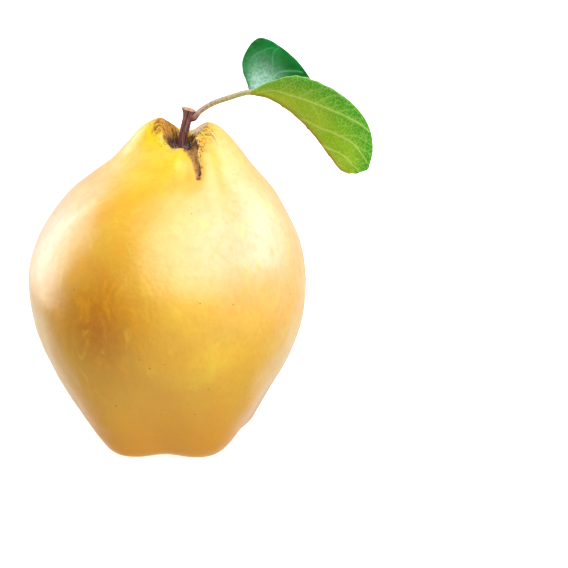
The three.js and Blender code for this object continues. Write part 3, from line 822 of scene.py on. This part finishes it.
def strand(start, heading, length, thickness, droop, steps=6, sides=5, seed=0):
    """One thin dry fibre: rings of points along a wandering line."""
    centres = [start]
    direction = heading.normalized()
    for step in range(steps):
        # noise_vector starts from the clock unless noise.seed_set is called, so the fibres' bends differ
        # a little from run to run, which is a fault.
        turn = noise.noise_vector(start * 900 + Vector((seed, step * 0.7, 0))) * 0.55
        direction = (direction + turn + Vector((0, 0, droop))).normalized()
        centres.append(centres[-1] + direction * length / steps)
    return tube_rings(centres, lambda share, angle: thickness * (1 - 0.75 * share) / 2, sides)


def bundle(name, strands, material, *replaced, slot):
    vertices, faces = [], []
    for rings in strands:
        more, joined = skin_over(rings)
        faces += [tuple(index + len(vertices) for index in face) for face in joined]
        vertices += more
    return add_piece(name, vertices, faces, material, *replaced, slot=slot)


def make_stamens():
    chance = random.Random(11)
    strands = []
    for index in range(34):
        angle = 2.4 * index
        ring = 0.3 + 1.5 * math.sqrt(index / 34)
        start = CALYX + Vector((math.cos(angle) * ring, math.sin(angle) * ring, 0.5)) * MM
        heading = Vector((math.cos(angle) * 0.28 * ring, math.sin(angle) * 0.28 * ring, -1))
        strands.append(strand(start, heading, chance.uniform(4.2, 5.6) * MM, 0.42 * MM, -0.06, seed=index))
    material = dry_material("dried_stamen", colour(40, 26, 18), colour(122, 88, 58))
    bundle("quince_stamen_tuft", strands, material, "stamen_tuft", slot="dried_calyx")


def make_cavity_down():
    """Wisps of dry, pale down that are left round the foot of the stem."""
    chance = random.Random(23)
    strands = []
    for index in range(210):
        angle = chance.uniform(0, 2 * math.pi)
        ring = chance.uniform(1.7, 4.0)
        slope = 0.7 * max(0.0, ring - 2.0)
        start = STEM_FOOT + Vector((math.cos(angle) * ring, math.sin(angle) * ring, slope - 0.5)) * MM
        heading = Vector((math.cos(angle) * 0.5, math.sin(angle) * 0.5, 0.65))
        heading += Vector([chance.uniform(-0.5, 0.5) for _ in range(3)])
        strands.append(strand(start, heading, chance.uniform(1.2, 2.8) * MM, 0.2 * MM, -0.12, seed=index))
    material = dry_material("dry_down", colour(120, 92, 74), colour(236, 222, 208))
    bundle("quince_cavity_down", strands, material, slot="dried_calyx")


# --- Table, light and camera ----------------------------------------------------------------------
def make_table():
    shader = Shader("pale_table")
    surface = shader.node("BsdfDiffuse", {"Color": (0.9, 0.9, 0.9, 1)})
    away = shader.node("VectorMath", {0: shader.place}, operation="LENGTH").outputs["Value"]
    strength = shader.spread(away, 0.15, 1.2, 0.74, 1.1)
    glow = shader.node("Emission", {"Color": (1, 1, 1, 1), "Strength": strength})
    both = shader.node("AddShader")
    shader.feed(both.inputs[0], surface.outputs[0])
    shader.feed(both.inputs[1], glow.outputs[0])
    shader.node("OutputMaterial", {"Surface": both.outputs[0]})
    mesh = bpy.data.meshes.new("table")
    ring = [(6 * math.cos(a), 6 * math.sin(a), 0) for a in np.linspace(0, 2 * math.pi, 97)[:-1]]
    mesh.from_pydata(ring, [], [tuple(range(96))])
    mesh.materials.append(shader.material)
    table = bpy.data.objects.new("table", mesh)
    table.location.z = -0.05 * MM
    # The world stands in for the table's bounce light and its reflection, so the table gives neither.
    table.visible_diffuse = False
    table.visible_glossy = False
    bpy.context.scene.collection.objects.link(table)


def make_world():
    world = bpy.data.worlds.new("studio")
    bpy.context.scene.world = world
    world.use_nodes = True
    tree = world.node_tree
    tree.nodes.clear()
    place = tree.nodes.new("ShaderNodeTexCoord")
    parts = tree.nodes.new("ShaderNodeSeparateXYZ")

    def ramp(value, start, end, low, high):
        made = tree.nodes.new("ShaderNodeMapRange")
        made.interpolation_type = "SMOOTHSTEP"
        tree.links.new(value, made.inputs["Value"])
        for key, number in {"From Min": start, "From Max": end, "To Min": low, "To Max": high}.items():
            made.inputs[key].default_value = number
        return made.outputs["Result"]

    def mixed(share, first, second):
        made = tree.nodes.new("ShaderNodeMix")
        for socket, value in zip(made.inputs[:1] + made.inputs[2:4], (share, first, second)):
            if isinstance(value, (int, float)):
                socket.default_value = value
            else:
                tree.links.new(value, socket)
        return made.outputs["Result"]

    # Brighter behind and below, where the white backdrop and table are. The table's own reflection in
    # the skin is kept fainter than the light that it throws up.
    rays = tree.nodes.new("ShaderNodeLightPath")
    sky = mixed(rays.outputs["Is Glossy Ray"], ramp(parts.outputs["Y"], -0.1, 0.8, 0.05, 0.75),
                ramp(parts.outputs["Y"], -0.1, 0.8, 0.05, 1.1))
    mirrored = ramp(parts.outputs["Y"], 0.1, 0.8, 0.03, 1.5)
    ground = mixed(rays.outputs["Is Glossy Ray"], 1.96, mirrored)
    strength = mixed(ramp(parts.outputs["Z"], -0.1, -0.6, 0.0, 1.0), sky, ground)
    ambient = tree.nodes.new("ShaderNodeBackground")
    seen = tree.nodes.new("ShaderNodeBackground")
    seen.inputs["Color"].default_value = (1, 1, 1, 1)
    seen.inputs["Strength"].default_value = 1.2
    choose = tree.nodes.new("ShaderNodeMixShader")
    output = tree.nodes.new("ShaderNodeOutputWorld")
    link = tree.links.new
    link(place.outputs["Generated"], parts.inputs[0])
    link(strength, ambient.inputs["Strength"])
    link(rays.outputs["Is Camera Ray"], choose.inputs[0])
    link(ambient.outputs[0], choose.inputs[1])
    link(seen.outputs[0], choose.inputs[2])
    link(choose.outputs[0], output.inputs[0])


def soft_box(name, place, width, height, watts):
    light = bpy.data.lights.new(name, "AREA")
    light.shape = "RECTANGLE"
    light.size = width
    light.size_y = height
    light.energy = watts
    box = bpy.data.objects.new(name, light)
    box.location = FRUIT_MIDDLE + Vector(place)
    box.rotation_euler = (FRUIT_MIDDLE - box.location).to_track_quat("-Z", "Y").to_euler()
    box.visible_camera = False
    bpy.context.scene.collection.objects.link(box)


def make_lights():
    soft_box("key", (0.22, -0.46, 0.6), 0.85, 0.9, 9.6)
    soft_box("right", (0.67, 0.16, 0.37), 0.75, 0.5, 3.0)
    soft_box("left", (-0.6, 0.28, 0.13), 0.6, 0.56, 3.15)


VIEW_ELEVATION = math.radians(20)
VIEW_DISTANCE = 0.607
VIEW_ASIDE = 0.0372  # the fruit stands left of the picture's middle
VIEW_HEIGHT = 0.051
FRAME_WIDTH = 0.1812  # how much of the scene the picture spans at the fruit


def make_camera():
    data = bpy.data.cameras.new("camera")
    data.sensor_width = 36
    data.lens = data.sensor_width * VIEW_DISTANCE / FRAME_WIDTH
    camera = bpy.data.objects.new("camera", data)
    aim = Vector((FRUIT_MIDDLE.x + VIEW_ASIDE, FRUIT_MIDDLE.y, VIEW_HEIGHT))
    away = Vector((0, -math.cos(VIEW_ELEVATION), math.sin(VIEW_ELEVATION)))
    camera.location = aim + away * VIEW_DISTANCE
    camera.rotation_euler = (-away).to_track_quat("-Z", "Y").to_euler()
    bpy.context.scene.collection.objects.link(camera)
    bpy.context.scene.camera = camera
    bpy.context.scene.view_settings.view_transform = "Standard"


make_camera()
make_world()
make_lights()
make_table()
leaf_shift = make_leaf()
stem_top = make_stem()
make_leaf_stalk(leaf_shift, stem_top)
make_fruit(leaf_shift)
make_sepals()
make_stamens()
make_cavity_down()
